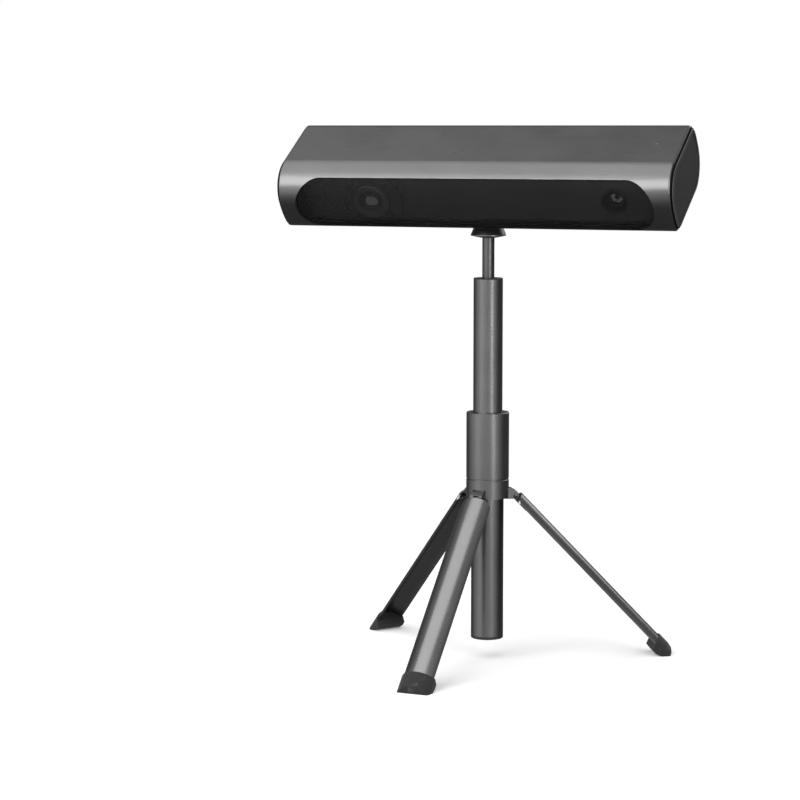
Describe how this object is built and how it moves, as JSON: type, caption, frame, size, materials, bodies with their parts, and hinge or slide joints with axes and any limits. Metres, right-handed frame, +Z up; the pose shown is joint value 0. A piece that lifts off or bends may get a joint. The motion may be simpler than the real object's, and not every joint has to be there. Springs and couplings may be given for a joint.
{
  "type": "bar 3-D scanner on mini tripod",
  "caption": "Bar-shaped structured-light 3-D scanner with a long dark window, tilted on a ball joint over a telescopic column with folding legs.",
  "frame": {"origin": "middle of the footprint, on the surface that the feet stand on", "axes": "+Z up; X along the scanner's bar; the window faces -Y"},
  "size_m": [0.26, 0.1922, 0.3403],
  "materials": {
    "cover_metal": "satin anodised",
    "window_glass": "gloss smoked",
    "black_rubber": "matte",
    "black_plastic": "matte moulded",
    "black_screw": "black oxide",
    "barrel_metal": "black anodised",
    "lens_glass": "coated",
    "engine_metal": "die-cast",
    "circuit_board": "solder mask",
    "flex_cable": "polyimide",
    "chassis_metal": "plain",
    "brass": "turned",
    "socket_steel": "plated",
    "button_plastic": "satin",
    "spring_steel": "plain",
    "light_pipe": "translucent",
    "cap_plastic": "satin moulded",
    "panel_plastic": "fine matte",
    "stand_metal": "satin dark anodised",
    "rod_metal": "satin anodised",
    "leg_metal": "satin dark anodised",
    "pin_steel": "plain",
    "nylon": "natural",
    "foot_rubber": "moulded"
  },
  "bodies": {
    "stand": {"hub": "stand_metal", "hinge_pins": "pin_steel", "lower_tube": "stand_metal", "tube_plug": "black_plastic", "tube_collet": "nylon"},
    "lock_collar": {"lock_collar": "stand_metal"},
    "mid_tube": {"mid_tube": "stand_metal", "mid_tube_guide": "nylon", "rod_bush": "black_plastic"},
    "rod": {"rod": "rod_metal", "rod_stop": "nylon"},
    "ball_cup": {"ball_cup": "stand_metal", "cup_ring": "stand_metal"},
    "scanner": {"ball_stud": "rod_metal", "mount_pad": "black_rubber", "front_cover": "cover_metal", "rear_cover": "cover_metal", "window_glass": "window_glass", "window_gasket": "black_rubber", "light_baffle": "black_plastic", "projector_bezel": "black_plastic", "bezel_screws": "black_screw", "projector_barrel": "barrel_metal", "projector_glass": "lens_glass", "projector_module": "engine_metal", "camera_liner": "black_plastic", "camera_barrel": "barrel_metal", "camera_glass": "lens_glass", "camera_board": "circuit_board", "camera_flex": "flex_cable", "chassis": "chassis_metal", "cover_screws": "black_screw", "board_posts": "brass", "main_board": "circuit_board", "heat_sink": "engine_metal", "fan_frame": "black_plastic", "usb_socket": "socket_steel", "power_socket": "black_plastic", "button_spring": "spring_steel", "button_board": "circuit_board", "status_light": "light_pipe", "tripod_insert": "brass", "end_cap_right": "cap_plastic", "end_cap_left": "cap_plastic", "end_panel_right": "panel_plastic", "end_panel_left": "panel_plastic", "end_gasket_right": "black_rubber", "end_gasket_left": "black_rubber"},
    "fan": {"fan_rotor": "black_plastic"},
    "scan_button": {"scan_button": "button_plastic"},
    "leg_front": {"leg_front": "leg_metal", "leg_tongue_front": "stand_metal", "foot_front": "foot_rubber"},
    "leg_right": {"leg_right": "leg_metal", "leg_tongue_right": "stand_metal", "foot_right": "foot_rubber"},
    "leg_left": {"leg_left": "leg_metal", "leg_tongue_left": "stand_metal", "foot_left": "foot_rubber"}
  },
  "joints": [
    {"name": "leg_front_fold", "type": "hinge", "parent": "stand", "child": "leg_front", "pos_m": [-0.00091, 0.00604, 0.10498], "axis": [0.9986, -0.0523, 0], "range_deg": [0, 43.7]},
    {"name": "leg_right_fold", "type": "hinge", "parent": "stand", "child": "leg_right", "pos_m": [0.0155, 0.03132, 0.10498], "axis": [-0.454, 0.891, 0], "range_deg": [0, 43.7]},
    {"name": "leg_left_fold", "type": "hinge", "parent": "stand", "child": "leg_left", "pos_m": [-0.01459, 0.03289, 0.10498], "axis": [-0.5446, -0.8387, 0], "range_deg": [0, 43.7]},
    {"name": "collar_twist", "type": "hinge", "parent": "stand", "child": "lock_collar", "pos_m": [0, 0.02342, 0.11618], "axis": [0, 0, 1], "range_deg": [0, 60]},
    {"name": "mid_tube_slide", "type": "slide", "parent": "stand", "child": "mid_tube", "axis": [0, 0, 1], "range_m": [-0.08, 0.012]},
    {"name": "rod_slide", "type": "slide", "parent": "mid_tube", "child": "rod", "axis": [0, 0, 1], "range_m": [-0.025, 0.02]},
    {"name": "head_pan", "type": "hinge", "parent": "rod", "child": "ball_cup", "pos_m": [0, 0.02342, 0.26968], "axis": [0, 0, 1], "continuous": true},
    {"name": "head_tilt", "type": "hinge", "parent": "ball_cup", "child": "scanner", "pos_m": [0, 0.02342, 0.27716], "axis": [-1, 0, 0], "range_deg": [-8, 70]},
    {"name": "fan_spin", "type": "hinge", "parent": "scanner", "child": "fan", "pos_m": [-0.0695, 0.03986, 0.32028], "axis": [0, 0.8545, 0.5195], "continuous": true},
    {"name": "scan_button_press", "type": "slide", "parent": "scanner", "child": "scan_button", "axis": [0, -0.8545, -0.5195], "range_m": [0, 0.001], "stiffness_N_per_m": 500, "springref_m": -0.001}
  ]
}
